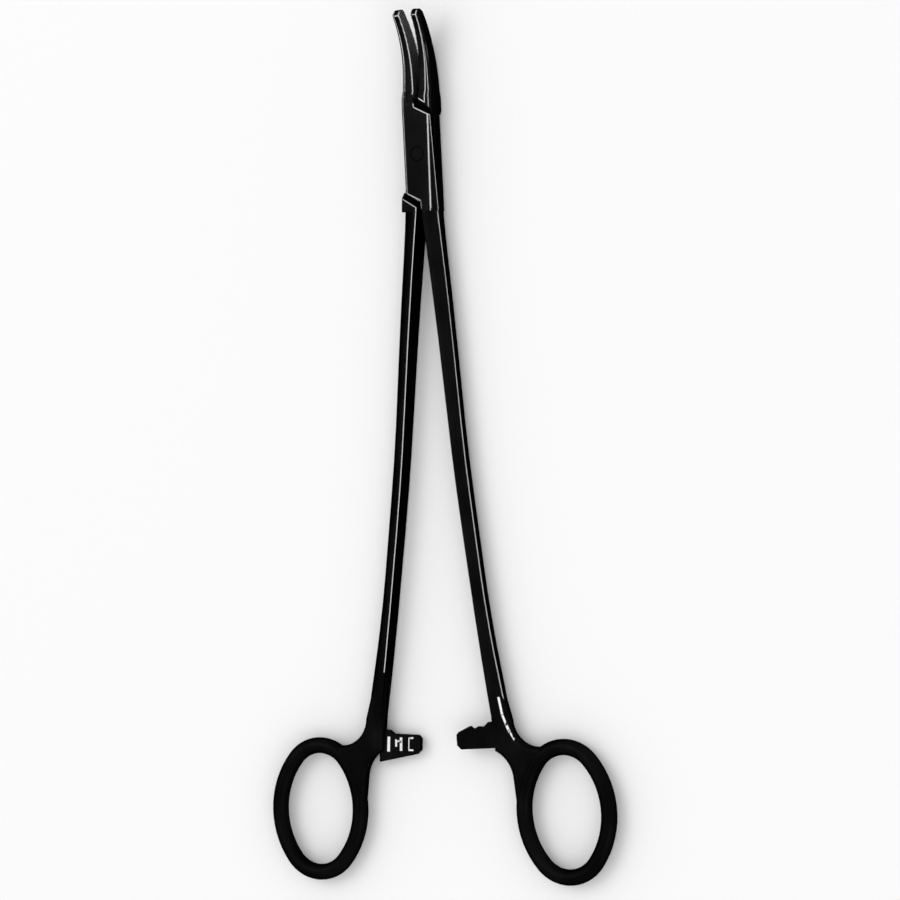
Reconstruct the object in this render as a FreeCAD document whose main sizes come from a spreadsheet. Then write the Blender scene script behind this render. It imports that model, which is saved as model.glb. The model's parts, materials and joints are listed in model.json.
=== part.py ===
import FreeCAD, Part
import os

import PartDesign, Sketcher

# Ring handled needle holder with a box lock. Lengths in mm, angles in degrees.
# Frame: origin on the pivot axis at the back of the box lock, +X to the right of the
# photograph, +Y to the jaw tips, +Z toward the viewer. Each half is drawn with the
# jaws closed and then turned about the pivot by half of the rest opening.

SIZES = [
    ("rest_opening", 5.2, "angle between the halves in the pose shown"),
    ("open_stop", 40, "angle from closed at which the tenon meets the box walls"),
    ("box_width", 7.8, "box lock across both halves"),
    ("box_thick", 6.4, "box lock from back to front"),
    ("cheek_mid", 11.3, "end of a cheek on the centre line"),
    ("cheek_side", 9.1, "end of a cheek at the side"),
    ("cheek_thick", 1.9, "each cheek"),
    ("slot_play", 0.05, "running gap around the tenon"),
    ("bite_gap", 0.03, "each half short of the centre plane"),
    ("tenon_half", 3, "half width of the tenon beside the pivot"),
    ("tenon_reach", 10.5, "where the tenon edge meets the centre line"),
    ("shoulder_gap", 0.2, "shoulder to cheek end, along the length"),
    ("shoulder_bevel", 1.2, "bevel on each shoulder"),
    ("box_end", 14, "where the box passes into the shanks"),
    ("rivet_radius", 1.3, "pivot rivet shank"),
    ("rivet_head", 1.8, "flush rivet head"),
    ("rivet_sink", 0.6, "depth of the flush head"),
    ("rivet_play", 0.04, "radial running gap in the tenon"),
    ("heel_half", 3.45, "jaw from bite to side at the cheek end"),
    ("jaw_root", 13, "where the jaw side begins"),
    ("jaw_root_half", 3.35, "jaw from bite to side at the root"),
    ("jaw_tip_half", 2, "jaw from bite to side at the tip"),
    ("jaw_side_radius", 240, "hollow side of the jaw"),
    ("jaw_top", 5.9, "jaw face height at its root"),
    ("jaw_low", 0.3, "jaw back height at its root"),
    ("top_bend_start", 18.8, "where the face starts to rise"),
    ("top_bend_radius", 22.7, "face curve"),
    ("top_bend_angle", 38.5, "face curve sweep"),
    ("taper_start", 14, "where the box thickness runs down to the jaw"),
    ("low_bend_start", 15.5, "where the back starts to rise"),
    ("low_bend_radius", 26.7, "back curve"),
    ("low_bend_angle", 43.3, "back curve sweep"),
    ("tip_bulge", 1.07, "tip curve radius as a share of half the tip thickness"),
    ("edge_bevel", 0.45, "bevel along the outer edges of box and jaw"),
    ("flank_wide", 1.3, "side bevel of the box at its shank end, on the face"),
    ("flank_deep", 1.6, "side bevel of the box at its shank end, on the side"),
    ("flank_small", 0.25, "share of that bevel left at the jaw end"),
    ("pad_start", 12.4, "mitred lower end of the jaw pad at its outer side"),
    ("pad_mitre", 1.1, "rise of the mitre to the bite"),
    ("pad_root", 1.9, "jaw pad thickness at its root"),
    ("pad_tip", 1.3, "jaw pad thickness at the tip"),
    ("ring_across", 25.8, "ring centre from the centre line, closed"),
    ("ring_along", 159.3, "ring centre from the pivot"),
    ("ring_half_width", 11, "ring bar centre line, half width"),
    ("ring_half_length", 15.5, "ring bar centre line, half length"),
    ("ring_end_radius", 8.6, "ring bar centre line, curve at both ends"),
    ("bar_radius", 1.95, "ring bar"),
    ("web_sunk", 0.3, "web faces below the top of the ring bar"),
    ("web_rise", 35.3, "web start inside the shank, above the ring centre"),
    ("web_start_flat", 0.4, "flat left between the rims where the web starts"),
    ("web_start_out", 10.2, "web outer edge at its start, closed"),
    ("web_foot_rise", 22.6, "foot of the shank, above the ring centre"),
    ("web_outer", 13.2, "web outer edge at the foot, closed"),
    ("web_inner", 8.5, "web edge beside the ratchet bar, closed"),
    ("crook_rise", 16.1, "top of the hollow between ratchet bar and ring"),
    ("crook_radius", 8, "hollow between ratchet bar and ring"),
    ("web_round", 1.2, "rounding of the web edges"),
    ("web_bury", 0.6, "depth to which the web edge runs into the ring bar"),
    ("catch_rise", 16, "underside of the front ratchet bar above the ring centre"),
    ("catch_step", 1.4, "back ratchet bar below the front one"),
    ("catch_slope", 0.24, "slope of the underside of the back ratchet bar"),
    ("catch_reach", 1.05, "ratchet tip past the centre line, closed"),
    ("catch_root", 9.8, "ratchet bar end inside the web, closed"),
    ("catch_corner", 1.05, "cut corner at the ratchet tip"),
    ("catch_thick", 1.6, "each ratchet bar"),
    ("catch_gap", 0.06, "tooth tips short of the middle plane"),
    ("tooth_count", 3, "teeth on each ratchet bar"),
    ("tooth_pitch", 2.4, "ratchet tooth spacing"),
    ("tooth_steep", 0.12, "steep side of a tooth gap, as a share of the pitch"),
    ("tooth_wide", 0.85, "tooth gap as a share of the pitch"),
    ("tooth_depth", 0.8, "ratchet tooth height"),
    ("tooth_margin", 0.7, "plain rim at the ratchet tip"),
    ("foot_rise", 17.3, "last shank section above the ring centre"),
]

# Shank sections evenly spaced from box to foot: inner face, width, thickness, outer edge
SHANK = [
    ("neck", 0.1, 3.6, 6.2, 3.2),
    ("second", 1.15, 3.3, 5.8, 2.5),
    ("third", 2.05, 3.1, 5.4, 2.4),
    ("fourth", 2.8, 2.9, 5.1, 2.3),
    ("fifth", 3.65, 2.85, 4.85, 2.3),
    ("sixth", 4.85, 2.8, 4.7, 2.3),
    ("seventh", 6.2, 2.8, 4.6, 2.3),
    ("ankle", 7.7, 3.35, 4.4, 2.2),
    ("foot", 9.2, 3.7, 3.0, 1.6),
]

# Upper edge of each ratchet bar: distance from its tip, height above its underside
FRONT_EDGE = [
    ("front_rim", 0.6, 4.2),
    ("front_crest", 3.75, 5.55),
    ("front_dip", 4.6, 4.7),
    ("front_hump", 6, 5.4),
    ("front_saddle", 7.3, 5.15),
    ("front_root", 8.6, 6.3),
]
BACK_EDGE = [
    ("back_rim", 0.8, 4.65),
    ("back_level", 7.4, 4.65),
    ("back_root", 8.6, 5.5),
]

MID = "(Sizes.box_thick / 2)"
TILT = "asin(Sizes.tenon_half / Sizes.tenon_reach)"
STOP = "(Sizes.open_stop * 1 deg)"
SWING = f"({TILT} + {STOP})"
HALF = "(Sizes.box_width / 2)"
WALL = "(Sizes.tenon_half + Sizes.slot_play)"
WIDE, LONG, END = "Sizes.ring_half_width", "Sizes.ring_half_length", "Sizes.ring_end_radius"
BROAD = f"(({WIDE} ^ 2 + ({LONG} - {END}) ^ 2 - {END} ^ 2) / (2 * ({WIDE} - {END})))"
LEAN = f"atan(({LONG} - {END}) / ({BROAD} - {WIDE}))"
OUT_X = f"{END} * cos({LEAN})"
OUT_Y = f"({LONG} - {END} + {END} * sin({LEAN}))"


# Sheet of driving sizes
def make_sheet(doc):
    sheet = doc.addObject("Spreadsheet::Sheet", "Sizes")
    rows = list(SIZES)
    for name, inner, width, thick, edge in SHANK:
        rows += [
            (f"{name}_inner", inner, "shank section inner face, closed"),
            (f"{name}_width", width, "shank section width"),
            (f"{name}_deep", thick, "shank section thickness at the inner face"),
            (f"{name}_edge", edge, "shank section thickness at the outer edge"),
        ]
    for name, along, rise in FRONT_EDGE + BACK_EDGE:
        rows += [
            (f"{name}_along", along, "ratchet bar upper edge, from the tip"),
            (f"{name}_rise", rise, "ratchet bar upper edge, above its underside"),
        ]
    for row, (alias, value, note) in enumerate(rows, 1):
        sheet.set(f"A{row}", alias)
        sheet.set(f"B{row}", str(value))
        sheet.set(f"C{row}", note)
        sheet.setAlias(f"B{row}", alias)
    doc.recompute()
    return sheet


# Sketch on one of the body's own planes, lifted by an expression
def plane_sketch(body, name, role, lift="0"):
    sketch = body.newObject("Sketcher::SketchObject", name)
    plane = next(f for f in body.Origin.OriginFeatures if f.Role == role)
    sketch.AttachmentSupport = [(plane, "")]
    sketch.MapMode = "FlatFace"
    sketch.setExpression("AttachmentOffset.Base.z", lift)
    return sketch


def number(obj, expression):
    return float(getattr(obj.evalExpression(expression), "Value", obj.evalExpression(expression)))


def bind(sketch, kind, *place, to):
    value = number(sketch, to)
    index = sketch.addConstraint(Sketcher.Constraint(kind, *place, value))
    sketch.setExpression(f"Constraints[{index}]", to)


# Closed outline; a corner is (x, y) or (x, y, radius) when an arc runs on to the next one.
# A positive radius bulges to the right of the direction of travel.
def outline(sketch, corners):
    spots = [FreeCAD.Vector(number(sketch, c[0]), number(sketch, c[1]), 0) for c in corners]
    first = sketch.GeometryCount
    ends = []
    for i, corner in enumerate(corners):
        a, b = spots[i], spots[(i + 1) % len(spots)]
        if len(corner) == 3:
            radius = number(sketch, corner[2])
            half = (b - a) * 0.5
            side = FreeCAD.Vector(half.y, -half.x, 0).normalize() * (1 if radius > 0 else -1)
            rise = abs(radius) - (radius ** 2 - half.Length ** 2) ** 0.5
            ways = (a, b) if radius > 0 else (b, a)
            sketch.addGeometry(Part.Arc(ways[0], a + half + side * rise, ways[1]))
            ends.append((1, 2) if radius > 0 else (2, 1))
        else:
            sketch.addGeometry(Part.LineSegment(a, b))
            ends.append((1, 2))
    for i in range(len(corners)):
        j = (i + 1) % len(corners)
        sketch.addConstraint(Sketcher.Constraint("Coincident", first + i, ends[i][1], first + j, ends[j][0]))
    for i, corner in enumerate(corners):
        bind(sketch, "DistanceX", first + i, ends[i][0], to=corner[0])
        bind(sketch, "DistanceY", first + i, ends[i][0], to=corner[1])
        if len(corner) == 3:
            bind(sketch, "Radius", first + i, to=f"abs({corner[2]})")


def pad(body, name, sketch, length):
    feature = body.newObject("PartDesign::Pad", name)
    feature.Profile = sketch
    feature.setExpression("Length", length)
    return feature


# Cut from the sketch plane in one direction, or through everything both ways
def cut(body, name, sketch, depth=None, reverse=False):
    feature = body.newObject("PartDesign::Pocket", name)
    feature.Profile = sketch
    feature.Reversed = reverse
    if depth is None:
        feature.Type = "ThroughAll"
        feature.SideType = "Symmetric"
    else:
        feature.setExpression("Length", depth)
    return feature


def signed(side, expression):
    return f"{side} * ({expression})"


# Everything outside the long side view of box and jaw, seen from the right
def side_cut(body):
    sketch = plane_sketch(body, "SideView", "YZ_Plane")
    low_y = "(Sizes.low_bend_start + Sizes.low_bend_radius * sin(Sizes.low_bend_angle))"
    low_z = "(Sizes.jaw_low + Sizes.low_bend_radius * (1 - cos(Sizes.low_bend_angle)))"
    top_y = "(Sizes.top_bend_start + Sizes.top_bend_radius * sin(Sizes.top_bend_angle))"
    top_z = "(Sizes.jaw_top + Sizes.top_bend_radius * (1 - cos(Sizes.top_bend_angle)))"
    tip = f"sqrt(({low_y} - {top_y}) ^ 2 + ({low_z} - {top_z}) ^ 2) / 2 * Sizes.tip_bulge"
    far = "2 * (Sizes.low_bend_start + Sizes.low_bend_radius)"
    outline(sketch, [
        ("-Sizes.box_end", "0"),
        ("Sizes.taper_start", "0"),
        ("Sizes.low_bend_start", "Sizes.jaw_low", "Sizes.low_bend_radius"),
        (low_y, low_z, tip),
        (top_y, top_z, "-Sizes.top_bend_radius"),
        ("Sizes.top_bend_start", "Sizes.jaw_top"),
        ("Sizes.low_bend_start", "Sizes.jaw_top"),
        ("Sizes.taper_start", "Sizes.box_thick"),
        ("-Sizes.box_end", "Sizes.box_thick"),
        ("-Sizes.box_end", "3 * Sizes.box_thick"),
        (far, "3 * Sizes.box_thick"),
        (far, "-Sizes.box_thick"),
        ("-Sizes.box_end", "-Sizes.box_thick"),
    ])
    return cut(body, "SideShape", sketch)


# Jaw corners from the box to the tip and back down along the pad seat
def jaw_corners(side):
    out = "Sizes.low_bend_start + Sizes.low_bend_radius"
    return [
        (signed(side, "Sizes.heel_half"), "Sizes.cheek_mid - Sizes.edge_bevel"),
        (signed(side, "Sizes.jaw_root_half"), "Sizes.jaw_root",
         f"{-side} * Sizes.jaw_side_radius"),
        (signed(side, "Sizes.jaw_tip_half"), out),
        (signed(side, "Sizes.pad_tip"), out),
        (signed(side, "Sizes.pad_root"), "Sizes.pad_start"),
        (signed(side, "Sizes.bite_gap"), "Sizes.pad_start + Sizes.pad_mitre"),
    ]


# Cheek ends cross the box at a slant; this is their height at a given distance to the right
def slant(across, extra="0"):
    slope = f"(Sizes.cheek_mid - Sizes.cheek_side) / {HALF}"
    return f"Sizes.cheek_mid + {extra} - ({across}) * {slope}"


# Box half: jaw on the left, slotted box, shank on the right
def box_blank(body):
    sketch = plane_sketch(body, "BoxPlan", "XY_Plane")
    corners = jaw_corners(-1) + [
        ("-Sizes.bite_gap", "Sizes.cheek_mid"),
        (HALF, "Sizes.cheek_side"),
        (HALF, "-Sizes.box_end"),
        ("Sizes.bite_gap", "-Sizes.box_end"),
        ("Sizes.bite_gap", "-Sizes.cheek_mid"),
        (f"-{HALF}", "-Sizes.cheek_side"),
    ]
    outline(sketch, corners)
    pad(body, "BoxBlank", sketch, "2 * Sizes.box_thick")


# Slot through the box, shaped so that its walls stop the tenon at the open stop
def box_slot(body):
    far, high = "2 * Sizes.box_width", "2 * Sizes.box_end"
    gap = "Sizes.bite_gap"
    top_y = f"({WALL} - {gap} * cos({TILT})) / sin({TILT})"
    knee_x = f"-{WALL} / cos({STOP} / 2) * cos({TILT} + {STOP} / 2)"
    knee_y = f"{WALL} / cos({STOP} / 2) * sin({TILT} + {STOP} / 2)"
    side_y = f"({WALL} - {far} * cos({SWING})) / sin({SWING})"
    half_turn = [
        (f"-{gap}", high), (f"-{gap}", top_y), (knee_x, knee_y),
        (f"-{far}", side_y), (f"-{far}", f"-{high}"),
    ]
    turned = [(f"-({x})", f"-({y})") for x, y in half_turn]
    sketch = plane_sketch(body, "SlotPlan", "XY_Plane", "Sizes.cheek_thick")
    outline(sketch, half_turn + turned)
    cut(body, "Slot", sketch, "Sizes.box_thick - 2 * Sizes.cheek_thick", reverse=True)


# Side bevels of the box, front and back, growing from the cheek end to the shank
def flanks(body, side):
    for name, up in (("Front", 1), ("Back", -1)):
        face, past = f"{MID} + {up} * {MID}", f"{MID} + {up} * Sizes.box_thick"
        sections = []
        for end, place, share in (("Low", "Sizes.box_end", "1"),
                                  ("High", "-Sizes.cheek_mid", "Sizes.flank_small")):
            sketch = plane_sketch(body, f"{name}Flank{end}", "XZ_Plane", place)
            outline(sketch, [
                (signed(side, f"{HALF} - Sizes.flank_wide * {share}"), face),
                (signed(side, HALF), f"{face} - {up} * Sizes.flank_deep * {share}"),
                (signed(side, f"{HALF} + Sizes.box_width"), f"{face} - {up} * Sizes.flank_deep * {share}"),
                (signed(side, f"{HALF} + Sizes.box_width"), past),
                (signed(side, f"{HALF} - Sizes.flank_wide * {share}"), past),
            ])
            sections.append(sketch)
        loft = body.newObject("PartDesign::SubtractiveLoft", f"{name}Flank")
        loft.Profile = sections[0]
        loft.Sections = sections[1:]
        loft.Ruled = True


# Bevel the long outer edges of box and jaw, found as the rim of the outer wall
def edge_bevels(body, side):
    tip = body.Tip
    thick, bend = number(tip, "Sizes.box_thick"), number(tip, "Sizes.low_bend_start")
    near, skin = number(tip, "Sizes.pad_tip"), number(tip, "Sizes.cheek_thick / 2")
    names = []
    for i, edge in enumerate(tip.Shape.Edges, 1):
        middle = edge.valueAt((edge.FirstParameter + edge.LastParameter) / 2)
        if middle.x * side < near or middle.y < -thick * 2:
            continue
        if min(abs(middle.z), abs(middle.z - thick)) > skin and middle.y < bend:
            continue
        faces = tip.Shape.ancestorsOfType(edge, Part.Face)
        across = [f.normalAt(*f.Surface.parameter(middle)).x * side for f in faces]
        if max(across) > 0.9 and min(abs(a) for a in across) < 0.3:
            names.append(f"Edge{i}")
    bevel = body.newObject("PartDesign::Chamfer", "EdgeBevel")
    bevel.Base = (tip, names)
    bevel.setExpression("Size", "Sizes.edge_bevel")


# Tenon half: jaw on the right, tenon across the box, shank on the left
def tenon_blank(body):
    edge_y = f"(Sizes.tenon_half - {HALF} * cos({TILT})) / sin({TILT})"
    start_x = "Sizes.bite_gap"
    start_y = f"(Sizes.tenon_half + Sizes.bite_gap * cos({TILT})) / sin({TILT})"
    sketch = plane_sketch(body, "TenonPlan", "XY_Plane")
    corners = jaw_corners(1) + [
        (start_x, start_y),
        (f"-{HALF}", edge_y),
        (f"-{HALF}", "-Sizes.box_end"),
        (f"-{start_x}", "-Sizes.box_end"),
        (f"-{start_x}", f"-({start_y})"),
        (HALF, f"-({edge_y})"),
    ]
    outline(sketch, corners)
    pad(body, "TenonBlank", sketch, "2 * Sizes.box_thick")


# Thin the tenon where the cheeks lie over it, front and back
def tenon_thin(body):
    far = "Sizes.box_width"
    corners = [
        (f"-{far}", slant(f"-{far}", "Sizes.shoulder_gap")),
        (far, slant(far, "Sizes.shoulder_gap")),
        (far, f"-({slant('-' + far, 'Sizes.shoulder_gap')})"),
        (f"-{far}", f"-({slant(far, 'Sizes.shoulder_gap')})"),
    ]
    front = plane_sketch(body, "FrontSeat", "XY_Plane",
                         "Sizes.box_thick - Sizes.cheek_thick - Sizes.slot_play")
    outline(front, corners)
    cut(body, "FrontThin", front, "Sizes.box_thick", reverse=True)
    back = plane_sketch(body, "BackSeat", "XY_Plane", "Sizes.cheek_thick + Sizes.slot_play")
    outline(back, corners)
    cut(body, "BackThin", back, "Sizes.box_thick")


# Shoulder edges on the front and back faces, found by place
def shoulder_bevels(body):
    tip = body.Tip
    thick = number(tip, "Sizes.box_thick")
    drop = number(tip, "Sizes.cheek_mid + Sizes.shoulder_gap")
    slope = number(tip, f"(Sizes.cheek_mid - Sizes.cheek_side) / {HALF}")
    names = []
    for i, edge in enumerate(tip.Shape.Edges, 1):
        spots = [v.Point for v in edge.Vertexes]
        flat = all(min(abs(p.z), abs(p.z - thick)) < 1e-4 for p in spots)
        lined = all(abs(abs(p.y + p.x * slope) - drop) < 1e-3 for p in spots)
        if flat and lined and edge.Length > 1:
            names.append(f"Edge{i}")
    bevel = body.newObject("PartDesign::Chamfer", "ShoulderBevel")
    bevel.Base = (tip, names)
    bevel.setExpression("Size", "Sizes.shoulder_bevel")


# Shank: sections flat on the inner side, sloping from there to a narrow outer edge
def shank(body, side):
    sections = []
    run = "(Sizes.ring_along - Sizes.foot_rise - Sizes.box_end)"
    for i, (name, *_) in enumerate(SHANK):
        key = f"Sizes.{name}_"
        sketch = plane_sketch(body, f"Section_{name}", "XZ_Plane",
                              f"Sizes.box_end + {run} * {i} / {len(SHANK) - 1}")
        half, rim = f"{key}deep / 2", f"{key}edge / 2"
        drop = f"({half} - {rim})"
        inner, outer = signed(side, f"{key}inner"), signed(side, f"{key}inner + {key}width")
        radius = f"{side} * ({key}width ^ 2 + {drop} ^ 2) / (2 * {drop})"
        outline(sketch, [
            (inner, f"{MID} - {half}", radius),
            (outer, f"{MID} - {rim}"),
            (outer, f"{MID} + {rim}", radius),
            (inner, f"{MID} + {half}"),
        ])
        sections.append(sketch)
    loft = body.newObject("PartDesign::AdditiveLoft", "Shank")
    loft.Profile = sections[0]
    loft.Sections = sections[1:]


# Web that carries the ring and the ratchet bar; its hidden side follows the ring bar
def web(body, side):
    half = "(Sizes.bar_radius - Sizes.web_sunk)"
    sketch = plane_sketch(body, "WebPlan", "XY_Plane", f"{MID} - {half}")
    across, bar = "Sizes.ring_across", f"({END} + Sizes.bar_radius - Sizes.web_bury)"
    inner, outer = "Sizes.web_inner", "Sizes.web_outer"
    side_x = f"({across} - {WIDE} - Sizes.bar_radius)"
    crook_y = "(Sizes.crook_rise - Sizes.crook_radius - Sizes.ring_along)"
    crook_top = f"{crook_y} + sqrt(Sizes.crook_radius ^ 2 - ({inner} - {side_x} + Sizes.crook_radius) ^ 2)"
    foot_y, hub_y = "(Sizes.web_foot_rise - Sizes.ring_along)", f"({LONG} - {END} - Sizes.ring_along)"
    gap_x, gap_y = f"({across} - {outer})", f"({foot_y} - {hub_y})"
    sweep = f"(({gap_x} ^ 2 + {gap_y} ^ 2 - {bar} ^ 2) / (2 * ({bar} + {gap_x})))"
    lean_x, lean_y = f"({gap_x} - {sweep}) / ({bar} + {sweep})", f"{gap_y} / ({bar} + {sweep})"
    corners = [
        ("Sizes.web_start_out - 2 * Sizes.web_round - Sizes.web_start_flat",
         "Sizes.web_rise - Sizes.ring_along"),
        (inner, crook_top, "-Sizes.crook_radius"),
        (side_x, crook_y),
        (f"{side_x} + Sizes.web_bury", "-Sizes.ring_along"),
        (f"{across} - {WIDE}", "-Sizes.ring_along", f"-{BROAD}"),
        (f"{across} - {OUT_X}", f"{OUT_Y} - Sizes.ring_along", f"-{END}"),
        (f"{across} - {END} * {lean_x}", f"{hub_y} + {END} * {lean_y}"),
        (f"{across} - {bar} * {lean_x}", f"{hub_y} + {bar} * {lean_y}", f"-{sweep}"),
        (outer, foot_y),
        ("Sizes.web_start_out", "Sizes.web_rise - Sizes.ring_along"),
    ]
    corners = [(signed(side, c[0]), *c[1:2], *[signed(side, r) for r in c[2:]]) for c in corners]
    outline(sketch, corners)
    plate = pad(body, "WebPlate", sketch, f"2 * {half}")
    body.Document.recompute()
    spots = [(number(plate, c[0]), number(plate, c[1])) for c in corners]
    shown = [{spots[i], spots[i + 1]} for i in (0, 1, 2, 7, 8)]
    rims = []
    for i, edge in enumerate(plate.Shape.Edges, 1):
        ends = [v.Point for v in edge.Vertexes]
        if abs(ends[0].z - ends[-1].z) < 1e-6 and any(
                all(min(abs(p.x - x) + abs(p.y - y) for x, y in pair) < 1e-4 for p in ends)
                for pair in shown):
            rims.append(f"Edge{i}")
    rim = body.newObject("PartDesign::Fillet", "WebRound")
    rim.Base = (plate, rims)
    rim.setExpression("Radius", "Sizes.web_round")


# Finger ring: a round bar swept around an oval of tangent arcs, from its top
def ring(body, side):
    middle = signed(side, "Sizes.ring_across")
    near, far = (signed(side, f"Sizes.ring_across {sign} {OUT_X}") for sign in "-+")
    path = plane_sketch(body, "RingPath", "XY_Plane", MID)
    outline(path, [
        (middle, f"{LONG} - Sizes.ring_along", signed(side, END)),
        (near, f"{OUT_Y} - Sizes.ring_along", signed(side, BROAD)),
        (near, f"-{OUT_Y} - Sizes.ring_along", signed(side, END)),
        (far, f"-{OUT_Y} - Sizes.ring_along", signed(side, BROAD)),
        (far, f"{OUT_Y} - Sizes.ring_along", signed(side, END)),
    ])
    section = plane_sketch(body, "RingSection", "YZ_Plane", middle)
    spot = section.addGeometry(Part.Circle(FreeCAD.Vector(), FreeCAD.Vector(0, 0, 1), 1))
    bind(section, "DistanceX", spot, 3, to="Sizes.ring_half_length - Sizes.ring_along")
    bind(section, "DistanceY", spot, 3, to=MID)
    bind(section, "Radius", spot, to="Sizes.bar_radius")
    bar = body.newObject("PartDesign::AdditivePipe", "Ring")
    bar.Profile = section
    bar.Spine = (path, [f"Edge{i}" for i in range(1, 6)])


# Ratchet bar on one side of the middle plane, front for the box half, back for the other
def ratchet(body, side, base, slope, edge):
    reach, corner = "Sizes.catch_reach", "Sizes.catch_corner"
    level = f"{MID} + {side} * Sizes.catch_gap"
    plan = plane_sketch(body, "CatchPlan", "XY_Plane", level)
    corners = [
        ("Sizes.catch_root", f"{base} - {slope} * Sizes.catch_root"),
        (f"{corner} - {reach}", base),
        (f"-{reach}", f"{base} + {corner}"),
        (f"-{reach}", f"{base} + Sizes.{edge[0][0]}_rise - Sizes.{edge[0][0]}_along"),
    ]
    corners += [(f"Sizes.{n}_along - {reach}", f"{base} + Sizes.{n}_rise") for n, *_ in edge]
    corners.append(("Sizes.catch_root", f"{base} + Sizes.{edge[-1][0]}_rise"))
    outline(plan, [(signed(side, x), y) for x, y in corners])
    bar = pad(body, "Catch", plan, "Sizes.catch_thick")
    bar.Reversed = side < 0
    body.Document.recompute()
    groove = plane_sketch(body, "ToothGap", "XZ_Plane", f"-({base} + Sizes.{edge[-1][0]}_rise)")
    first = f"Sizes.tooth_margin - {reach}"
    outline(groove, [
        (signed(side, first), level),
        (signed(side, f"{first} + Sizes.tooth_pitch * Sizes.tooth_wide"), level),
        (signed(side, f"{first} + Sizes.tooth_pitch * Sizes.tooth_steep"),
         f"{level} + {side} * Sizes.tooth_depth"),
    ])
    gap = cut(body, "Tooth", groove, f"2 * Sizes.{edge[-1][0]}_rise")
    gap.Reversed = True
    body.Document.recompute()
    row = body.newObject("PartDesign::LinearPattern", "Teeth")
    row.Originals = [gap]
    row.Direction = (groove, ["H_Axis"])
    row.Reversed = side < 0
    row.Mode = "Spacing"
    row.setExpression("Offset", "Sizes.tooth_pitch")
    row.setExpression("Occurrences", "Sizes.tooth_count")
    body.Tip = row


# Rivet bore, with a sink for the flush head at both cheeks of the box half
def bore(body, radius, sunk):
    sketch = plane_sketch(body, "Bore", "XZ_Plane")
    top, sink = "Sizes.box_thick", "Sizes.rivet_sink"
    if sunk:
        corners = [
            ("0", "0"), ("Sizes.rivet_head", "0"), (radius, sink), (radius, f"{top} - {sink}"),
            ("Sizes.rivet_head", top), ("0", top),
        ]
    else:
        corners = [("0", "0"), (radius, "0"), (radius, top), ("0", top)]
    outline(sketch, corners)
    return sketch


def turned(body, kind, name, sketch):
    feature = body.newObject(kind, name)
    feature.Profile = sketch
    feature.ReferenceAxis = (sketch, ["V_Axis"])
    feature.Angle = 360
    return feature


# Hard pad brazed into the jaw, cut by the same side view as the jaw
def jaw_pad(body, side):
    out = "Sizes.low_bend_start + Sizes.low_bend_radius"
    sketch = plane_sketch(body, "PadPlan", "XY_Plane")
    outline(sketch, [
        (signed(side, "Sizes.bite_gap"), "Sizes.pad_start + Sizes.pad_mitre"),
        (signed(side, "Sizes.pad_root"), "Sizes.pad_start"),
        (signed(side, "Sizes.pad_tip"), out),
        (signed(side, "Sizes.bite_gap"), out),
    ])
    pad(body, "PadBlank", sketch, "2 * Sizes.box_thick")
    side_cut(body)


def make_half(doc, name, side):
    body = doc.addObject("PartDesign::Body", name)
    for feature in (web, ring, shank):
        feature(body, side)
        doc.recompute()
    base = "(Sizes.catch_rise - Sizes.ring_along)"
    if side > 0:
        box_blank(body)
        side_cut(body)
        box_slot(body)
        doc.recompute()
        edge_bevels(body, -side)
        flanks(body, side)
        turned(body, "PartDesign::Groove", "RivetBore", bore(body, "Sizes.rivet_radius", True))
        ratchet(body, side, base, "0", FRONT_EDGE)
    else:
        tenon_blank(body)
        side_cut(body)
        tenon_thin(body)
        doc.recompute()
        edge_bevels(body, -side)
        doc.recompute()
        shoulder_bevels(body)
        turned(body, "PartDesign::Groove", "RivetBore",
               bore(body, "Sizes.rivet_radius + Sizes.rivet_play", False))
        ratchet(body, side, f"({base} - Sizes.catch_step)", "Sizes.catch_slope", BACK_EDGE)
    return body


def make_rivet(doc):
    body = doc.addObject("PartDesign::Body", "pivot_rivet")
    turned(body, "PartDesign::Revolution", "Rivet", bore(body, "Sizes.rivet_radius", True))
    return body


def make_pad(doc, name, side):
    body = doc.addObject("PartDesign::Body", name)
    jaw_pad(body, side)
    return body


# Turn a piece about the pivot by half of the rest opening, left for the box half
def open_piece(body, side):
    body.Placement = FreeCAD.Placement(
        FreeCAD.Vector(), FreeCAD.Rotation(FreeCAD.Vector(0, 0, side), 1))
    body.setExpression("Placement.Rotation.Angle", "Sizes.rest_opening / 2")


def check(doc):
    for obj in doc.Objects:
        bad = [s for s in obj.State if s in ("Invalid", "Error")]
        if bad:
            raise RuntimeError(f"{obj.Name}: {bad}")
        if hasattr(obj, "Shape") and obj.isDerivedFrom("PartDesign::Body"):
            shape = obj.Shape
            if shape.isNull() or not shape.isValid() or len(shape.Solids) != 1:
                raise RuntimeError(f"{obj.Name}: {len(shape.Solids)} solids, valid {shape.isValid()}")


def main():
    doc = FreeCAD.newDocument("needle_holder")
    make_sheet(doc)
    pieces = [
        (make_half(doc, "box_half", 1), 1),
        (make_half(doc, "tenon_half", -1), -1),
        (make_rivet(doc), 1),
        (make_pad(doc, "box_jaw_insert", -1), 1),
        (make_pad(doc, "tenon_jaw_insert", 1), -1),
    ]
    for body, side in pieces:
        open_piece(body, side)
    doc.recompute()
    check(doc)
    os.makedirs("parts", exist_ok=True)
    for body, _ in pieces:
        body.Label = body.Name
        body.Shape.exportStep(f"parts/{body.Name}.step")
        box = body.Shape.BoundBox
        print(body.Name, round(body.Shape.Volume, 1), len(body.Shape.Faces),
              [round(v, 2) for v in (box.XMin, box.XMax, box.YMin, box.YMax, box.ZMin, box.ZMax)])


main()
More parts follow.
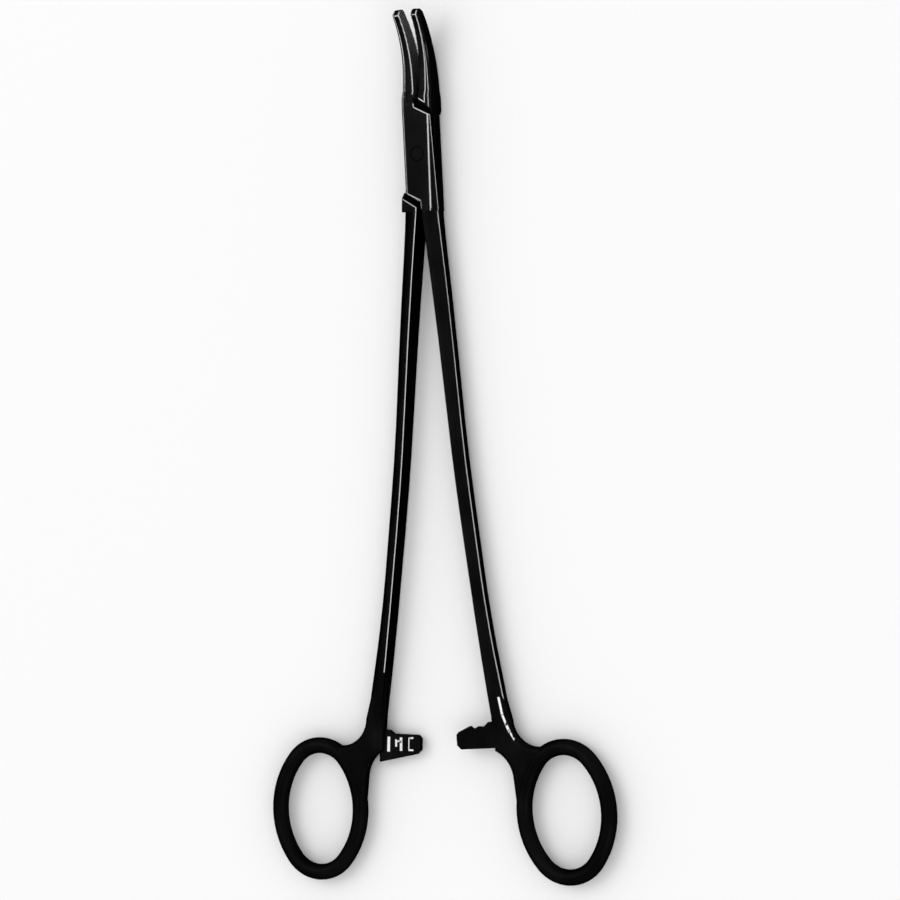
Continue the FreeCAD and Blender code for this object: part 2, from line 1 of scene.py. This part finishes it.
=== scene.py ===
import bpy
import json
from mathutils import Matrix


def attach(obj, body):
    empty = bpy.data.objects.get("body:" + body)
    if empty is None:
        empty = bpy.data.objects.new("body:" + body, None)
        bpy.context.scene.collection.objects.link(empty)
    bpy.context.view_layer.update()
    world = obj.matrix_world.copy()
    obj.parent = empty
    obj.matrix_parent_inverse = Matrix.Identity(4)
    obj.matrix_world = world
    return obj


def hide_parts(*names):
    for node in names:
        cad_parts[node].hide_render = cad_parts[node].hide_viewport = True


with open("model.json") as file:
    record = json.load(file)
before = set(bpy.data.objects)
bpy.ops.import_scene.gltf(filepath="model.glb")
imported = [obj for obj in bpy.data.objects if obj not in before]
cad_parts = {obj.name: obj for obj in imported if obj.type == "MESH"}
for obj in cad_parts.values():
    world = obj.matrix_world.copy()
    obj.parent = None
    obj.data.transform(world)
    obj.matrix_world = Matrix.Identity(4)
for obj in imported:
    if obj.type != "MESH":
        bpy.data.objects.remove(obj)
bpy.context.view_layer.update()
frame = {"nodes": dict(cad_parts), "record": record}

import json
import logging
import math
from dataclasses import dataclass, replace
from enum import Enum

import bmesh
import bpy
import numpy as np
from mathutils import Matrix, Vector

log = logging.getLogger("needle_holder")

MM = 0.001
Colour = tuple[float, float, float]
Spot = tuple[float, float]

# Noise scales across, along and through a piece
CLOUDS = (90.0, 60.0, 90.0)
RAGGED_NOISE = (1400.0, 420.0, 1400.0)
FIBRES = (700.0, 700.0, 700.0)

# Share of the mirror that bare metal loses, so that it stays pale in plain light
BARE_DULL = 0.75


class Lie(Enum):
    """Direction in which a surface was ground, as noise scales across and along."""

    ALONG = (2600.0, 220.0, 2600.0)
    ACROSS = (220.0, 3200.0, 3200.0)


class Role(Enum):
    """What a lamp does for the picture."""

    KEY = "key"
    FILL = "fill"


class Wire:
    """A shader socket; arithmetic on it adds Math nodes to its graph."""

    def __init__(self, graph: "Graph", socket: bpy.types.NodeSocket) -> None:
        self.graph = graph
        self.socket = socket

    def math(self, operation: str, *terms: "Wire | float") -> "Wire":
        """Returns the result of one Math node."""
        return self.graph.add("ShaderNodeMath", {"operation": operation}, 0, *terms)

    def __add__(self, other: "Wire | float") -> "Wire":
        return self.math("ADD", self, other)

    __radd__ = __add__

    def __sub__(self, other: "Wire | float") -> "Wire":
        return self.math("SUBTRACT", self, other)

    def __rsub__(self, other: float) -> "Wire":
        return self.math("SUBTRACT", other, self)

    def __mul__(self, other: "Wire | float") -> "Wire":
        return self.math("MULTIPLY", self, other)

    __rmul__ = __mul__

    def __abs__(self) -> "Wire":
        return self.math("ABSOLUTE", self)

    def either(self, other: "Wire") -> "Wire":
        """Returns the larger of two masks."""
        return self.math("MAXIMUM", self, other)

    def step(self, low: float, high: float) -> "Wire":
        """Returns a smooth rise from 0 at low to 1 at high; falls where high is lower."""
        return self.graph.add("ShaderNodeMapRange", {"interpolation_type": "SMOOTHSTEP"}, 0,
                              Value=self, **{"From Min": low, "From Max": high})

    def parts(self) -> tuple["Wire", "Wire", "Wire"]:
        """Returns the three components of a vector."""
        node = self.graph.tree.nodes.new("ShaderNodeSeparateXYZ")
        self.graph.feed(node.inputs[0], self)
        return tuple(Wire(self.graph, socket) for socket in node.outputs)


class Graph:
    """Node tree of one material, with a Principled shader at its end."""

    def __init__(self, name: str) -> None:
        self.material = bpy.data.materials.new(name)
        self.material.use_nodes = True
        self.tree = self.material.node_tree
        self.tree.nodes.clear()
        self.shader = self.tree.nodes.new("ShaderNodeBsdfPrincipled")
        end = self.tree.nodes.new("ShaderNodeOutputMaterial")
        self.tree.links.new(self.shader.outputs[0], end.inputs["Surface"])

    def feed(self, slot: bpy.types.NodeSocket, value: "Wire | float | tuple") -> None:
        """Links a wire to a socket, or sets the socket to a constant."""
        if isinstance(value, Wire):
            self.tree.links.new(value.socket, slot)
        elif isinstance(value, tuple) and len(slot.default_value) == 4:
            slot.default_value = (*value, 1.0)
        else:
            slot.default_value = value

    def add(self, kind: str, settings: dict | None = None, output: int | str = 0,
            *terms: "Wire | float", **inputs: "Wire | float | tuple") -> Wire:
        """Adds any node.

        Args:
            kind: node type.
            settings: properties of the node, set before its inputs.
            output: name or number of the output to return.
            *terms: values of the first inputs, in order.
            **inputs: values by socket name.

        Returns:
            The chosen output.
        """
        node = self.tree.nodes.new(kind)
        for key, value in (settings or {}).items():
            setattr(node, key, value)
        for socket, value in zip(node.inputs, terms):
            self.feed(socket, value)
        for name, value in inputs.items():
            self.feed(node.inputs[name], value)
        return Wire(self, node.outputs[output])

    def mix(self, share: Wire, low: "Colour | Wire", high: "Colour | Wire") -> Wire:
        """Returns a colour between low and high."""
        node = self.tree.nodes.new("ShaderNodeMix")
        node.data_type = "RGBA"
        for slot, value in zip((node.inputs[0], node.inputs[6], node.inputs[7]),
                               (share, low, high)):
            self.feed(slot, value)
        return Wire(self, node.outputs[2])

    def noise(self, scale: Colour, detail: float, place: Wire) -> Wire:
        """Returns noise from 0 to 1 at a place stretched by scale."""
        spot = self.add("ShaderNodeMapping", None, 0, Vector=place, Scale=Vector(scale))
        return self.add("ShaderNodeTexNoise", None, 0, Vector=spot, Scale=1.0, Detail=detail)

    def finish(self, **inputs: "Wire | float | tuple") -> bpy.types.Material:
        """Feeds the shader by socket name and returns the material."""
        for name, value in inputs.items():
            self.feed(self.shader.inputs[name.replace("_", " ")], value)
        return self.material


@dataclass(frozen=True)
class PaintedHighlight:
    """Straight painted highlight line on the front of a piece, in the bare-metal colour.

    Attributes:
        start: one end, in millimetres from the pivot.
        end: other end.
        width: width in millimetres.
        broken: share of the line that the black still covers.
    """

    start: Spot
    end: Spot
    width: float
    broken: float

    def mask(self, place: Wire, grain: Wire) -> Wire:
        """Draws the streak.

        The distance across and along the line comes from the place turned
        into the direction of the line; grain breaks the line up.

        Args:
            place: position on the piece, in metres.
            grain: noise from 0 to 1.

        Returns:
            1 on the streak and 0 beside it.
        """
        (x, y, _), (x0, y0) = place.parts(), self.start
        length = math.dist(self.start, self.end)
        lean_x, lean_y = (self.end[0] - x0) / length, (self.end[1] - y0) / length
        x, y = x * (1 / MM) - x0, y * (1 / MM) - y0
        along, across = x * lean_x + y * lean_y, abs(y * lean_x - x * lean_y)
        soft = 0.3 * self.width
        line = across.step(self.width / 2 + soft / 2, self.width / 2 - soft / 2)
        ends = along.step(0.0, soft) * along.step(length, length - soft)
        return line * ends * grain.step(self.broken - 0.04, self.broken + 0.04)


def trace(path: tuple[Spot, ...], width: float, broken: float) -> tuple[PaintedHighlight, ...]:
    """Returns the streaks that join the points of a path."""
    return tuple(PaintedHighlight(start, end, width, broken) for start, end in zip(path, path[1:]))


# Painted highlight lines on the right foot, beside its outer edge
FOOT_HIGHLIGHTS = (trace(((16.7, -130.5), (17.6, -134.8), (19.1, -138.4), (20.85, -140.9)), 0.55, 0.44)
        + trace(((18.1, -128.9), (18.65, -132.4), (19.6, -136.0), (20.8, -138.6)), 0.35, 0.4))

# Painted highlight lines on the teeth of the left ratchet bar
TEETH_HIGHLIGHTS = (
    PaintedHighlight((-13.75, -140.2), (-13.95, -144.0), 0.7, 0.3),
    PaintedHighlight((-12.0, -140.9), (-12.05, -142.8), 0.4, 0.4),
    PaintedHighlight((-12.0, -141.5), (-10.5, -141.3), 0.4, 0.4),
    PaintedHighlight((-10.5, -140.4), (-10.6, -143.8), 0.6, 0.35),
    PaintedHighlight((-8.5, -140.6), (-8.65, -143.5), 0.6, 0.3),
    PaintedHighlight((-8.5, -140.7), (-7.25, -140.6), 0.4, 0.35),
    PaintedHighlight((-8.6, -143.5), (-7.35, -143.6), 0.4, 0.35),
)


@dataclass(frozen=True)
class Zone:
    """Upright block, in millimetres from the pivot, in which the black stays whole.

    Attributes:
        low: its corner to the left and toward the rings.
        high: its corner to the right and toward the jaws.
        top: height at which it ends.
        soft: width of its border.
    """

    low: Spot
    high: Spot
    top: float = 100.0
    soft: float = 0.2

    def mask(self, place: tuple[Wire, Wire, Wire]) -> Wire:
        """Returns 1 inside the block and 0 outside, at a place in millimetres."""
        inside = place[2].step(self.top, self.top - self.soft)
        for axis, low, high in zip(place, self.low, self.high):
            inside = inside * axis.step(low, low + self.soft) * axis.step(high, high - self.soft)
        return inside


BOX_WHOLE = (
    Zone((-2.6, -2.6), (2.6, 2.6)),         # rim of the rivet
    Zone((-2.9, 12.0), (0.0, 36.0)),        # seat of the left pad
    Zone((3.0, -6.0), (8.0, 6.0), 4.5),     # mouth of the slot
    Zone((-10.0, -160.0), (14.5, -128.0)),  # front ratchet bar
    Zone((12.0, -180.0), (60.0, -138.5)),   # web and ring
)
TENON_WHOLE = (
    Zone((-5.0, -9.2), (6.0, 9.6)),         # tenon inside the box
    Zone((-60.0, -180.0), (0.0, -124.5)),   # foot, back ratchet bar and ring
)
RIVET_WHOLE = (Zone((-3.0, -3.0), (3.0, 3.0)),)
MITRE_WHOLE = (Zone((-4.0, 10.0), (0.0, 14.4)),)


@dataclass(frozen=True)
class BlackedSteel:
    """Steel blacked all over, with bright bare-metal lines on its edges: partly edge wear, mostly
    painted highlights on the edges turned toward the camera side.

    Attributes:
        black: colour of the blacked face.
        cloud: colour where the blacking is thinner.
        thin: cloud noise at which that begins and is full.
        bare: colour of the bright bare metal used for the painted highlight lines on edges and
            streaks.
        edge_tint: strength of the reflection at a glancing angle.
        gloss: roughness of the blacked face.
        uneven: how much clouds and scratches change the roughness.
        edge: distance in millimetres from an edge that the bright line reaches.
        onset: lowest bend of the surface that shows bare metal, from 0 to 1.
        full: bend of the surface at which the metal is wholly bare.
        ragged: how much noise moves these two.
        wheel: direction toward the camera side; edges turned to it get the painted
            highlight, edges turned away stay black.
        spared: cosines to that direction below which an edge stays black and above
            which it takes the painted highlight.
        faced: the same for the face that the edge bounds.
        box_end: place below which only edges along the shank get the painted highlight.
        crosswise: lean of such an edge across the shank at which the black
            returns and is whole.
        one_sided: place below which only edges that turn right get the painted highlight.
        turned: turn to the right at which such an edge is bare and black.
        fade: length over which these two places set in.
        steep: lowest cosine to the front of a face that gets the painted highlight.
        steep_fade: cosines over which that sets in.
        whole: zones in which the black stays whole.
        scratch: height in millimetres of the brushed scratches.
        relief: strength of the scratches.
        lie: direction of the scratches.
        streaks: painted highlight lines on the front.
        front: cosines to the front between which a streak sets in.
    """

    black: Colour = (0.003, 0.003, 0.0033)
    cloud: Colour = (0.007, 0.007, 0.0075)
    thin: Spot = (0.35, 0.75)
    bare: Colour = (0.93, 0.93, 0.925)
    edge_tint: Colour = (0.4, 0.4, 0.4)
    gloss: float = 0.36
    uneven: Spot = (0.14, 0.1)
    edge: float = 0.5
    onset: float = 0.012
    full: float = 0.032
    ragged: float = 0.012
    wheel: Colour = (0.45, 0.0, 0.89)
    spared: Spot = (0.6, 0.68)
    faced: Spot = (0.5, 0.62)
    box_end: float = -13.0
    crosswise: Spot = (0.22, 0.4)
    one_sided: float = -13.0
    turned: Spot = (0.1, 0.03)
    fade: float = 0.3
    steep: float = 0.0
    steep_fade: float = 0.03
    whole: tuple[Zone, ...] = ()
    scratch: float = 0.004
    relief: float = 0.15
    lie: Lie = Lie.ALONG
    streaks: tuple[PaintedHighlight, ...] = ()
    front: Spot = (0.5, 0.7)

    def rubbed(self, graph: Graph, place: Wire, ragged_noise: Wire) -> tuple[Wire, Wire]:
        """Finds the bright edge lines, partly edge wear and mostly painted highlight.

        An edge is where the normal rounded over a small distance departs
        from the true one, and it is painted bright where the face and the
        rounded normal both turn toward the camera side, from the front or,
        by symmetry, from the back.

        Args:
            graph: material graph.
            place: position on the piece, in metres.
            ragged_noise: noise that makes the border of the bright line uneven.

        Returns:
            1 on the painted highlight line and 0 on black, and the rounded normal.
        """
        rounded = graph.add("ShaderNodeBevel", {"samples": 8}, 0, Radius=self.edge * MM)
        true = graph.add("ShaderNodeNewGeometry", None, "Normal")
        bend = 1.0 - graph.add("ShaderNodeVectorMath", {"operation": "DOT_PRODUCT"}, "Value",
                               rounded, true)
        turn = {"vector_type": "NORMAL", "convert_from": "WORLD", "convert_to": "OBJECT"}
        right, up, front = graph.add("ShaderNodeVectorTransform", turn, 0, rounded).parts()
        face_right, _, face_front = graph.add("ShaderNodeVectorTransform", turn, 0, true).parts()
        spot = tuple(axis * (1 / MM) for axis in place.parts())
        shank = spot[1].step(self.box_end, self.box_end - self.fade)
        one_sided = spot[1].step(self.one_sided, self.one_sided - self.fade)
        facing = right * self.wheel[0] + abs(front) * self.wheel[2]
        face = face_right * self.wheel[0] + abs(face_front) * self.wheel[2]
        # Painted highlight: edges that bend and turn toward the camera side take the bare-metal
        # colour; the rest stay black.
        bare = (bend + (ragged_noise - 0.5) * self.ragged).step(self.onset, self.full)
        bare = bare * facing.step(*self.spared) * face.step(*self.faced)
        bare = bare * abs(face_front).step(self.steep - self.steep_fade, self.steep)
        bare = bare * (1.0 - one_sided * (right - face_right).step(*self.turned))
        bare = bare * (1.0 - shank * abs(up).step(*self.crosswise))
        for zone in self.whole:
            bare = bare * (1.0 - zone.mask(spot))
        return bare, rounded

    def material(self, name: str) -> bpy.types.Material:
        """Builds the material under a name."""
        graph = Graph(name)
        place = graph.add("ShaderNodeTexCoord", None, "Object")
        hairs = graph.noise(self.lie.value, 3.0, place)
        cloud = graph.noise(CLOUDS, 4.0, place)
        ragged_noise = graph.noise(RAGGED_NOISE, 3.0, place)
        bare, rounded = self.rubbed(graph, place, ragged_noise)
        front = graph.add("ShaderNodeNewGeometry", None, "Normal").parts()[2]
        # Painted highlight lines at listed places on the front
        for streak in self.streaks:
            bare = bare.either(streak.mask(place, ragged_noise) * front.step(*self.front))
        black = graph.mix(cloud.step(*self.thin), self.black, self.cloud)
        relief = graph.add("ShaderNodeBump", None, 0, Height=hairs, Strength=self.relief,
                           Distance=self.scratch * MM, Normal=rounded)
        by_cloud, by_hair = self.uneven
        # Base colour: black, with the painted highlight lines in the bare colour.
        return graph.finish(
            Base_Color=graph.mix(bare, black, self.bare),
            Roughness=self.gloss + (cloud - 0.5) * by_cloud + (hairs - 0.5) * by_hair,
            Metallic=1.0 - bare * BARE_DULL, Normal=relief, Specular_Tint=self.edge_tint)


@dataclass(frozen=True)
class KnurledFace:
    """Bite face of a jaw: black diamonds parted by grooves cut to bare metal.

    Attributes:
        land: colour of the diamonds.
        groove: colour of the grooves.
        gloss: roughness of the diamonds.
        uneven: how much the scratches change roughness and brink.
        brink: shares of the groove depth between which black turns bare.
        scratch: height in millimetres of the scratches.
        relief: strength of the scratches.
    """

    land: Colour = (0.004, 0.004, 0.0045)
    groove: Colour = (0.55, 0.55, 0.55)
    gloss: float = 0.4
    uneven: float = 0.15
    brink: Spot = (0.72, 0.9)
    scratch: float = 0.004
    relief: float = 0.2

    def material(self, name: str) -> bpy.types.Material:
        """Builds the material, which reads the groove depth stored on the mesh."""
        graph = Graph(name)
        place = graph.add("ShaderNodeTexCoord", None, "Object")
        hairs = graph.noise(Lie.ACROSS.value, 3.0, place)
        depth = graph.add("ShaderNodeAttribute", {"attribute_name": "groove"}, "Fac")
        bare = (depth + (hairs - 0.5) * self.uneven).step(*self.brink)
        relief = graph.add("ShaderNodeBump", None, 0, Height=hairs, Strength=self.relief,
                           Distance=self.scratch * MM)
        return graph.finish(
            Base_Color=graph.mix(bare, self.land, self.groove),
            Roughness=self.gloss + (hairs - 0.5) * self.uneven,
            Metallic=1.0 - bare * BARE_DULL, Normal=relief)


@dataclass(frozen=True)
class Paper:
    """Plain white paper with a faint grain.

    Attributes:
        shade: colour of the paper.
        grain: share of the colour that the fibres take.
        gloss: roughness of the paper.
    """

    shade: Colour = (0.98, 0.98, 0.98)
    grain: float = 0.01
    gloss: float = 0.9

    def material(self, name: str) -> bpy.types.Material:
        """Builds the material under a name."""
        graph = Graph(name)
        place = graph.add("ShaderNodeTexCoord", None, "Object")
        grain = graph.noise(FIBRES, 2.0, place)
        low = tuple(c * (1 - self.grain) for c in self.shade)
        return graph.finish(Base_Color=graph.mix(grain, low, self.shade), Roughness=self.gloss)


@dataclass(frozen=True)
class JawEdge:
    """Side view edge of a jaw: a run down from the box, a level run, then an arc.

    Attributes:
        box: height beside the box.
        level: height of the level run.
        start: where the arc starts, from the pivot.
        radius: radius of the arc.
        sweep: angle of the arc in degrees.
        taper: where the run down from the box starts and ends.
    """

    box: float
    level: float
    start: float
    radius: float
    sweep: float
    taper: Spot = (14.0, 15.5)

    def follow(self, share: np.ndarray, root: np.ndarray) -> np.ndarray:
        """Follows the edge.

        The length run is a share of the straight and the arc together. Along
        the straight the point moves by that length; along the arc it turns by
        the rest divided by the radius.

        Args:
            share: share of the length, from 0 to 1.
            root: distance of the start from the pivot.

        Returns:
            Distance along the jaw and height, in the last axis.
        """
        straight = self.start - root
        run = share * (straight + self.radius * math.radians(self.sweep))
        turn = np.maximum(run - straight, 0) / self.radius
        along = np.minimum(root + run, self.start) + self.radius * np.sin(turn)
        height = np.interp(along, self.taper, (self.box, self.level))
        return np.stack([along, height + self.radius * (1 - np.cos(turn))], axis=-1)


@dataclass(frozen=True)
class Diamonds:
    """Diamond pattern of the bite face, in millimetres.

    Attributes:
        across: width of a diamond across the jaw.
        along: length of a diamond along the jaw.
        share: share of the pitch that a groove takes.
        depth: depth of the grooves.
    """

    across: float = 1.2
    along: float = 0.92
    share: float = 0.46
    depth: float = 0.14

    def cut(self, along: np.ndarray, across: np.ndarray) -> np.ndarray:
        """Returns the groove depth from 0 to 1.

        Two families of lines cross: the sum and the difference of the two
        positions in diamonds. Each line is a V whose depth falls with the
        distance to the nearest whole number, and the deeper one holds.
        """
        rows = along / self.along, across / self.across
        lines = np.stack([rows[0] + rows[1], rows[0] - rows[1]])
        near = np.abs(lines - np.round(lines))
        return np.clip(1 - near / (self.share / 2), 0, 1).max(axis=0)


@dataclass(frozen=True)
class JawPad:
    """Hard pad brazed into a jaw, with its diamonds cut into the bite face.

    Attributes:
        name: name of the piece.
        node: CAD node that it stands for.
        side: -1 for the left jaw, 1 for the right.
        lean: angle in degrees by which its half is opened at rest.
        gap: bite face from the centre plane, closed.
        root: pad thickness at its root.
        tip: pad thickness where the jaw ends.
        start: lower end at the seam.
        mitre: how much further the lower end lies at the bite.
        bulge: tip curve radius as a share of half the tip thickness.
        front: front edge in the side view.
        back: back edge in the side view.
        diamonds: pattern of the bite face.
        grid: cells along, across and through.
    """

    name: str
    node: str
    side: int
    lean: float
    gap: float = 0.03
    root: float = 1.9
    tip: float = 1.3
    start: float = 12.4
    mitre: float = 1.1
    bulge: float = 1.07
    front: JawEdge = JawEdge(6.4, 5.9, 18.8, 22.7, 38.5)
    back: JawEdge = JawEdge(0.0, 0.3, 15.5, 26.7, 43.3)
    diamonds: Diamonds = Diamonds()
    grid: tuple[int, int, int] = (230, 64, 6)

    def solid(self, along: np.ndarray, across: np.ndarray,
              through: np.ndarray) -> tuple[np.ndarray, np.ndarray]:
        """Maps three shares to a point of the pad.

        A point lies between the back and the front edge by the share across.
        Past their ends it goes straight out to the tip curve. Its depth runs
        from the bite plane to the seam plane, and on the bite plane it sinks
        into the grooves.

        Args:
            along: share from root to tip.
            across: share from back to front.
            through: share from bite to seam.

        Returns:
            Points in metres and groove depths from 0 to 1.
        """
        along, across, through = np.broadcast_arrays(along, across, through)
        ends = [edge.follow(np.ones(1), np.zeros(1))[0] for edge in (self.back, self.front)]
        chord = ends[1] - ends[0]
        half = np.hypot(*chord) / 2
        outward = np.array([chord[1], -chord[0]]) / (2 * half)
        curve, offset = half * self.bulge, (2 * across - 1) * half
        rise = np.sqrt(curve ** 2 - offset ** 2) - np.sqrt(curve ** 2 - half ** 2)
        length = ends[0][0] - self.start
        run = along * (1 + rise / length)
        root = self.start + self.mitre * (1 - through)
        low = self.back.follow(np.minimum(run, 1), root)
        high = self.front.follow(np.minimum(run, 1), root)
        flat = low + across[..., None] * (high - low)
        flat = flat + (np.maximum(run - 1, 0) * length)[..., None] * outward
        cut = self.diamonds.cut(flat[..., 0], flat[..., 1]) * (through == 0)
        end = self.back.start + self.back.radius
        seam = self.root + (self.tip - self.root) * (flat[..., 0] - self.start) / (end - self.start)
        x = self.side * (self.gap + through * (seam - self.gap) + cut * self.diamonds.depth)
        turn = math.radians(self.lean)
        y = flat[..., 0]
        points = np.stack([x * math.cos(turn) - y * math.sin(turn),
                           x * math.sin(turn) + y * math.cos(turn), flat[..., 1]], axis=-1)
        return points * MM, cut

    def build(self, body: str, steel: BlackedSteel, face: KnurledFace) -> None:
        """Builds the pad from its six sides and puts it in place of its node.

        Args:
            body: body that it rides on.
            steel: finish of the five plain sides.
            face: finish of the bite face.
        """
        shares = [np.linspace(0, 1, count + 1) for count in self.grid]
        points, cuts, faces, marks, count = [], [], [], [], 0
        for axis in range(3):
            for level in (0.0, 1.0):
                axes = [s if a != axis else np.array([level]) for a, s in enumerate(shares)]
                spots, cut = self.solid(*np.meshgrid(*axes, indexing="ij"))
                spots, cut = spots.squeeze(axis), cut.squeeze(axis)
                wide = cut.shape[1]
                corner = count + np.arange(cut.size).reshape(cut.shape)[:-1, :-1].ravel()
                faces.append(np.stack([corner, corner + 1, corner + wide + 1, corner + wide], axis=1))
                marks.append(np.full(len(corner), int(axis == 2 and level == 0)))
                points.append(spots.reshape(-1, 3))
                cuts.append(cut.ravel())
                count += cut.size
        mesh = bpy.data.meshes.new(self.name)
        mesh.from_pydata(np.concatenate(points).tolist(), [], np.concatenate(faces).tolist())
        groove = mesh.attributes.new("groove", "FLOAT", "POINT")
        groove.data.foreach_set("value", np.concatenate(cuts))
        mesh.polygons.foreach_set("material_index", np.concatenate(marks))
        close_seams(mesh)
        mesh.materials.append(steel.material(f"{self.name}_sides"))
        mesh.materials.append(face.material(f"{self.name}_bite"))
        piece = bpy.data.objects.new(self.name, mesh)
        bpy.context.scene.collection.objects.link(piece)
        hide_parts(self.node)
        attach(piece, body)
        log.info("%s: %d faces on %s", self.name, len(mesh.polygons), body)


def close_seams(mesh: bpy.types.Mesh, weld: float = 0.0005, sharp: float = 25.0) -> None:
    """Merges the shared borders of the sides, turns the faces outwards and keeps edges sharp.

    Args:
        mesh: mesh whose sides meet along equal points.
        weld: distance in millimetres within which two points become one.
        sharp: angle in degrees above which an edge stays sharp.
    """
    shell = bmesh.new()
    shell.from_mesh(mesh)
    bmesh.ops.remove_doubles(shell, verts=shell.verts, dist=weld * MM)
    bmesh.ops.recalc_face_normals(shell, faces=shell.faces)
    shell.to_mesh(mesh)
    shell.free()
    mesh.shade_smooth()
    mesh.set_sharp_from_angle(angle=math.radians(sharp))


@dataclass(frozen=True)
class Half:
    """One half of the instrument: its forging and what is fixed to it.

    Attributes:
        body: body of the frame.
        finishes: finish of each CAD node of the half.
        pad: jaw pad of the half.
        pad_steel: finish of the plain sides of the pad.
    """

    body: str
    finishes: dict[str, BlackedSteel]
    pad: JawPad
    pad_steel: BlackedSteel

    def dress(self) -> None:
        """Gives every CAD node of this half its own material."""
        for node, finish in self.finishes.items():
            piece = frame["nodes"][node]
            piece.data.materials.clear()
            piece.data.materials.append(finish.material(f"{node}_finish"))
            log.info("%s on %s", node, self.body)

    def build(self) -> None:
        """Dresses the nodes and builds the pad."""
        self.dress()
        self.pad.build(self.body, self.pad_steel, KnurledFace())


@dataclass(frozen=True)
class Floor:
    """Sheet of paper under the object.

    Attributes:
        side: length of the sheet in metres.
        drop: distance in metres below the lowest face of the object.
        finish: the paper.
    """

    side: float = 3.0
    drop: float = 0.00003
    finish: Paper = Paper()


@dataclass(frozen=True)
class Lamp:
    """Rectangular soft lamp that looks at a point.

    Attributes:
        role: what the lamp does.
        place: centre of the lamp in metres.
        aim: point it faces, in metres.
        size: width and height in metres.
        watts: power.
    """

    role: Role
    place: Colour
    aim: Colour
    size: Spot
    watts: float


@dataclass(frozen=True)
class Viewpoint:
    """Camera that matches the photograph.

    Attributes:
        aim: point at the centre of the picture, in millimetres.
        turn: angle in degrees from straight above toward the right side.
        roll: lean in degrees of the long axis; the lower end leans right.
        away: distance in metres from the aim.
        field: width in metres that the picture covers at the aim.
    """

    aim: Colour = (4.98, -71.3, 3.2)
    turn: float = 26.0
    roll: float = 1.65
    away: float = 0.95
    field: float = 0.2162


@dataclass(frozen=True)
class Studio:
    """Floor, lamps, world and camera.

    Attributes:
        floor: the paper.
        lamps: the soft lamps.
        view: the camera.
        sky: strength of the even white world.
    """

    floor: Floor
    lamps: tuple[Lamp, ...]
    view: Viewpoint
    sky: float = 0.82

    def lay_floor(self) -> None:
        """Lays the paper under the lowest face."""
        half, level = self.floor.side / 2, -self.floor.drop
        mesh = bpy.data.meshes.new("paper")
        mesh.from_pydata([(-half, -half, level), (half, -half, level), (half, half, level),
                          (-half, half, level)], [], [(0, 1, 2, 3)])
        sheet = bpy.data.objects.new("paper", mesh)
        bpy.context.scene.collection.objects.link(sheet)
        mesh.materials.append(self.floor.finish.material("paper_finish"))

    def hang_lamps(self) -> None:
        """Hangs the soft lamps and sets an even white world."""
        for lamp in self.lamps:
            data = bpy.data.lights.new(f"{lamp.role.value}_lamp", "AREA")
            data.shape = "RECTANGLE"
            data.size, data.size_y = lamp.size
            data.energy = lamp.watts
            piece = bpy.data.objects.new(data.name, data)
            away = Vector(lamp.place) - Vector(lamp.aim)
            piece.matrix_world = (Matrix.Translation(lamp.place)
                                  @ away.to_track_quat("Z", "Y").to_matrix().to_4x4())
            bpy.context.scene.collection.objects.link(piece)
        world = bpy.data.worlds.new("studio")
        world.use_nodes = True
        world.node_tree.nodes["Background"].inputs["Color"].default_value = (1, 1, 1, 1)
        world.node_tree.nodes["Background"].inputs["Strength"].default_value = self.sky
        bpy.context.scene.world = world

    def set_camera(self) -> None:
        """Puts the camera where the photograph was taken from."""
        turn, roll = math.radians(self.view.turn), math.radians(self.view.roll)
        back = Vector((math.sin(turn), 0, math.cos(turn)))
        level = Vector((math.cos(turn), 0, -math.sin(turn)))
        up = Vector((0, 1, 0)) * math.cos(roll) + level * math.sin(roll)
        right = up.cross(back)
        spot = Vector(self.view.aim) * MM + back * self.view.away
        data = bpy.data.cameras.new("camera")
        data.lens = data.sensor_width * self.view.away / self.view.field
        data.clip_start, data.clip_end = 0.05, 20.0
        camera = bpy.data.objects.new("camera", data)
        turned = Matrix((right, up, back)).transposed().to_4x4()
        camera.matrix_world = Matrix.Translation(spot) @ turned
        bpy.context.scene.collection.objects.link(camera)
        bpy.context.scene.camera = camera

    def build(self) -> None:
        """Sets up floor, lamps and camera, and the plain colour view."""
        self.lay_floor()
        self.hang_lamps()
        self.set_camera()
        bpy.context.scene.view_settings.view_transform = "Standard"
        log.info("studio with %d lamps", len(self.lamps))


def main() -> None:
    """Builds both halves and the studio."""
    logging.basicConfig(level=logging.INFO, format="%(name)s: %(message)s")
    opened = frame["record"]["behaviour"]["joints"][0]["range_deg"][1] / 2
    box_steel = BlackedSteel(whole=BOX_WHOLE, streaks=FOOT_HIGHLIGHTS)
    tenon_steel = BlackedSteel(one_sided=100.0, steep=0.74, whole=TENON_WHOLE, streaks=TEETH_HIGHLIGHTS)
    rivet_steel = BlackedSteel(whole=RIVET_WHOLE)
    pad_steel = BlackedSteel(wheel=(0.6, 0.0, 0.8), spared=(0.7, 0.78))
    left_pad_steel = replace(pad_steel, whole=MITRE_WHOLE)
    Half("box_side", {"box_half": box_steel, "pivot_rivet": rivet_steel},
         JawPad("box_jaw_knurl", "box_jaw_insert", -1, opened), left_pad_steel).build()
    Half("tenon_side", {"tenon_half": tenon_steel},
         JawPad("tenon_jaw_knurl", "tenon_jaw_insert", 1, -opened), pad_steel).build()
    middle = (0.0, -0.07, 0.0)
    Studio(
        Floor(),
        (
            Lamp(Role.KEY, (-0.5, 0.3, 1.1), middle, (0.8, 0.8), 2.6),
            Lamp(Role.FILL, (0.9, -0.6, 0.9), middle, (0.7, 0.7), 1.5),
        ),
        Viewpoint(),
    ).build()


if __name__ == "__main__":
    main()
